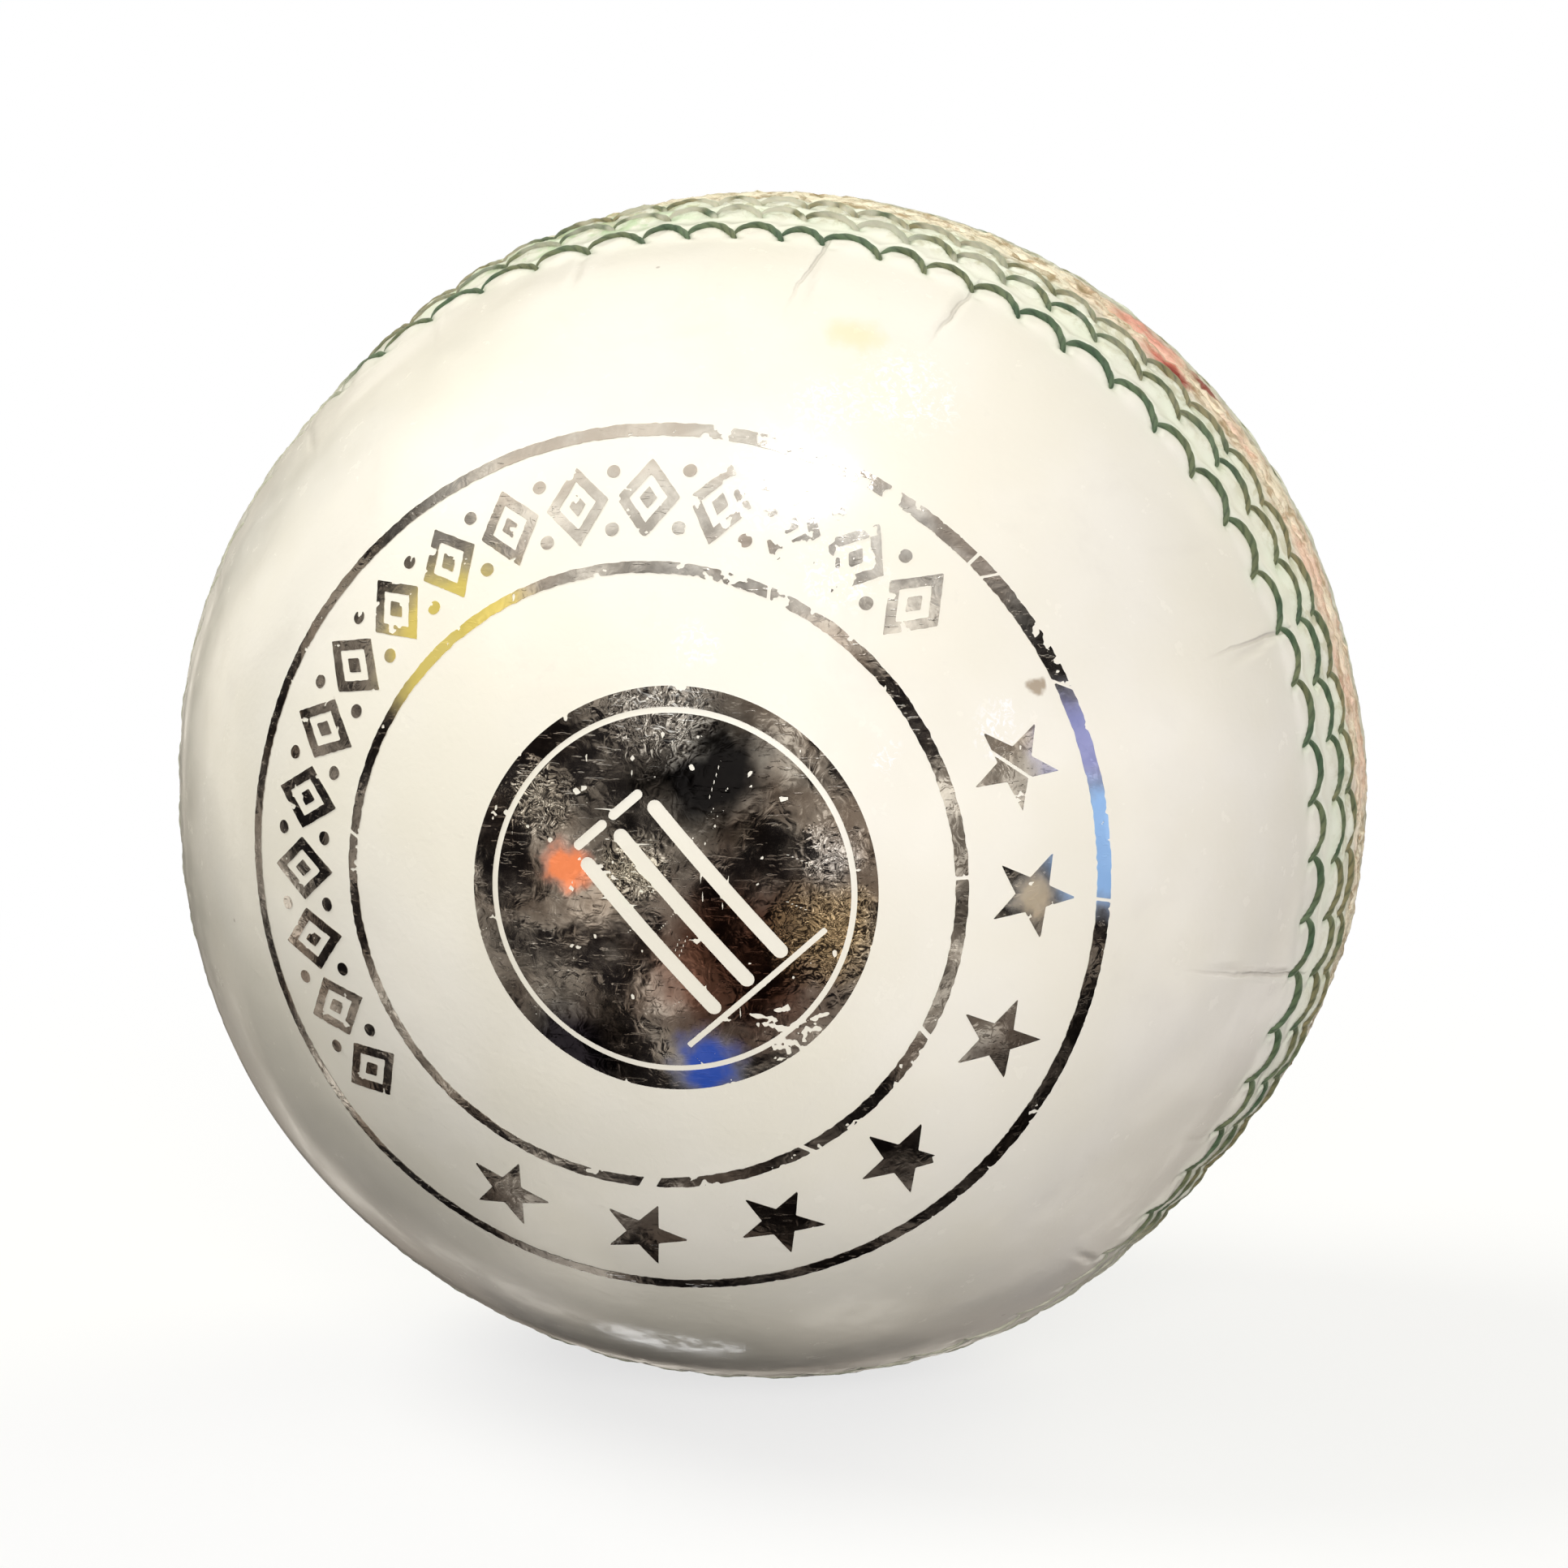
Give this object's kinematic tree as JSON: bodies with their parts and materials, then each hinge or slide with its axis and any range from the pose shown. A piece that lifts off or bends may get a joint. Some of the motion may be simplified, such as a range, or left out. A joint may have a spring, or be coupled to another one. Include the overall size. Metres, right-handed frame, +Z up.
{
  "type": "cricket ball",
  "caption": "White leather cricket ball: two moulded cups joined by a raised seam with rows of green stitching, over a cork and wound yarn core.",
  "frame": {"origin": "centre of the ball", "axes": "+Z up with the seam standing upright in the XZ plane; -Y points out of the front cup's stamped face, +Y out of the plain back cup"},
  "size_m": [0.0732, 0.072, 0.0732],
  "materials": {
    "white_leather": "white-dyed, lacquered and polished, with a fine grain",
    "green_thread": "dark green waxed twisted thread",
    "lining_leather": "undyed flesh-side leather",
    "worsted_yarn": "undyed wound wool yarn",
    "cork": "granular sheet cork",
    "cork_rubber": "moulded cork and rubber compound"
  },
  "bodies": {
    "root": {"core_nucleus": "cork_rubber", "yarn_winding_inner": "worsted_yarn", "cork_half_a": "cork", "cork_half_b": "cork", "yarn_winding_middle": "worsted_yarn", "cork_gore_1": "cork", "cork_gore_2": "cork", "cork_gore_3": "cork", "cork_gore_4": "cork", "yarn_winding_outer": "worsted_yarn", "seam_lining_front": "lining_leather", "seam_lining_back": "lining_leather", "cover_front": "white_leather", "cover_back": "white_leather", "seam_stitch_row_1": "green_thread", "seam_stitch_row_2": "green_thread", "seam_stitch_row_3": "green_thread", "seam_stitch_row_4": "green_thread", "seam_stitch_row_5": "green_thread", "seam_stitch_row_6": "green_thread"}
  },
  "joints": []
}
